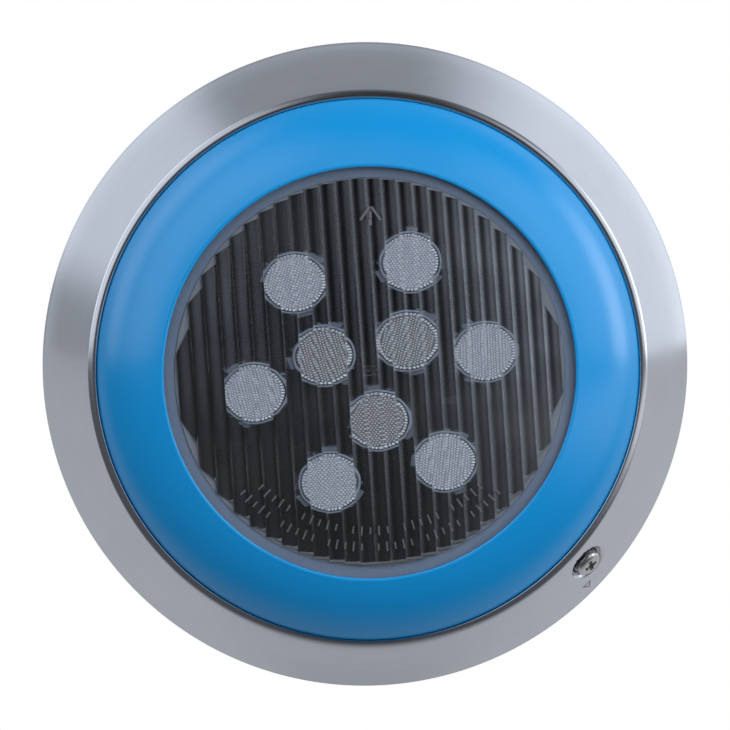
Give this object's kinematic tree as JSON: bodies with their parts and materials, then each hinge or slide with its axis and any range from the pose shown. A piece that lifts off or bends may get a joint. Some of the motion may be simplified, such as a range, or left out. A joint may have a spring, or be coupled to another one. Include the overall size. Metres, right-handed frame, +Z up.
{
  "type": "underwater pool light",
  "caption": "Round wall-hung underwater pool light with a steel face ring, a blue trim ring and a fluted clear lens over lensed LEDs.",
  "frame": {"origin": "centre of the wall bracket's back face, on the lamp's axis", "axes": "+Z up; +Y into the wall, along the lamp's axis; the face looks towards -Y; +X to the right as seen from the front"},
  "size_m": [0.23, 0.0525, 0.23],
  "materials": {
    "face_steel": "satin stainless, lightly brushed",
    "bracket_steel": "mill-finish stainless strip",
    "stud_steel": "turned stainless",
    "screw_steel": "stainless screw",
    "tab_steel": "mill-finish stainless",
    "nut_steel": "stainless nut",
    "washer_steel": "stainless washer",
    "housing_white": "fine-textured moulded plastic",
    "trim_blue": "glossy moulded plastic",
    "lens_clear": "clear polycarbonate, polished outside, fluted inside",
    "optic_clear": "clear acrylic optic with a beaded face",
    "holder_clear": "clear-frosted moulded plastic",
    "led_phosphor": "yellow phosphor under silicone",
    "gasket_grey": "grey silicone",
    "board_black": "black solder mask",
    "board_green": "green solder mask",
    "sink_aluminium": "mill-finish plate",
    "capacitor_sleeve": "shrink sleeve",
    "terminal_green": "moulded nylon",
    "lead_jacket": "flat silicone lead",
    "gland_nylon": "moulded nylon",
    "gland_rubber": "moulded rubber",
    "slip_ring_white": "moulded acetal"
  },
  "bodies": {
    "bracket": {"wall_bracket": "bracket_steel"},
    "lamp": {"hang_stud_upper": "stud_steel", "hang_stud_lower": "stud_steel", "rear_housing": "housing_white", "engine_carrier": "housing_white", "clamp_ring": "housing_white", "skirt_hoop": "housing_white", "trim_ring": "trim_blue", "cover_screw_1": "screw_steel", "cover_screw_2": "screw_steel", "cover_screw_3": "screw_steel", "cover_screw_4": "screw_steel", "lens_gasket": "gasket_grey", "front_lens": "lens_clear", "heat_sink": "sink_aluminium", "led_board": "board_black", "board_screw_1": "screw_steel", "board_screw_2": "screw_steel", "board_screw_3": "screw_steel", "led_emitter_1": "led_phosphor", "optic_holder_1": "holder_clear", "led_optic_1": "optic_clear", "led_emitter_2": "led_phosphor", "optic_holder_2": "holder_clear", "led_optic_2": "optic_clear", "led_emitter_3": "led_phosphor", "optic_holder_3": "holder_clear", "led_optic_3": "optic_clear", "led_emitter_4": "led_phosphor", "optic_holder_4": "holder_clear", "led_optic_4": "optic_clear", "led_emitter_5": "led_phosphor", "optic_holder_5": "holder_clear", "led_optic_5": "optic_clear", "led_emitter_6": "led_phosphor", "optic_holder_6": "holder_clear", "led_optic_6": "optic_clear", "led_emitter_7": "led_phosphor", "optic_holder_7": "holder_clear", "led_optic_7": "optic_clear", "led_emitter_8": "led_phosphor", "optic_holder_8": "holder_clear", "led_optic_8": "optic_clear", "led_emitter_9": "led_phosphor", "optic_holder_9": "holder_clear", "led_optic_9": "optic_clear", "driver_board": "board_green", "smoothing_capacitor": "capacitor_sleeve", "terminal_block": "terminal_green", "led_lead": "lead_jacket", "gland_body": "gland_nylon", "gland_o_ring": "gland_rubber", "gland_seal": "gland_rubber"},
    "ring": {"face_ring": "face_steel", "hook_tab": "tab_steel", "weld_nut": "nut_steel"},
    "washer": {"screw_washer": "washer_steel"},
    "screw": {"fixing_screw": "screw_steel"},
    "gland_slide": {"gland_slip_ring": "slip_ring_white"},
    "gland_cap": {"gland_nut": "gland_nylon"}
  },
  "joints": [
    {"name": "lamp_lift", "type": "slide", "parent": "bracket", "child": "lamp", "axis": [0, 0, 1], "range_m": [0, 0.01]},
    {"name": "ring_turn", "type": "hinge", "parent": "lamp", "child": "ring", "pos_m": [0, -0.02, 0], "axis": [0, 1, 0], "continuous": true},
    {"name": "screw_travel", "type": "slide", "parent": "ring", "child": "washer", "axis": [0.5737, -0.6428, -0.5076], "range_m": [0, 0.012]},
    {"name": "screw_turn", "type": "hinge", "parent": "washer", "child": "screw", "pos_m": [0.07804, -0.02675, -0.06904], "axis": [0.5737, -0.6428, -0.5076], "range_deg": [0, 5401]},
    {"name": "gland_nut_travel", "type": "slide", "parent": "lamp", "child": "gland_slide", "axis": [0, 0, -1], "range_m": [0, 0.005]},
    {"name": "gland_nut_turn", "type": "hinge", "parent": "gland_slide", "child": "gland_cap", "pos_m": [0, -0.018, -0.07], "axis": [0, 0, -1], "range_deg": [0, 1201]}
  ],
  "couplings": [
    {"joint": "screw_turn", "follows": "screw_travel", "rad_per_m": 7854},
    {"joint": "gland_nut_turn", "follows": "gland_nut_travel", "rad_per_m": 4188.8}
  ]
}
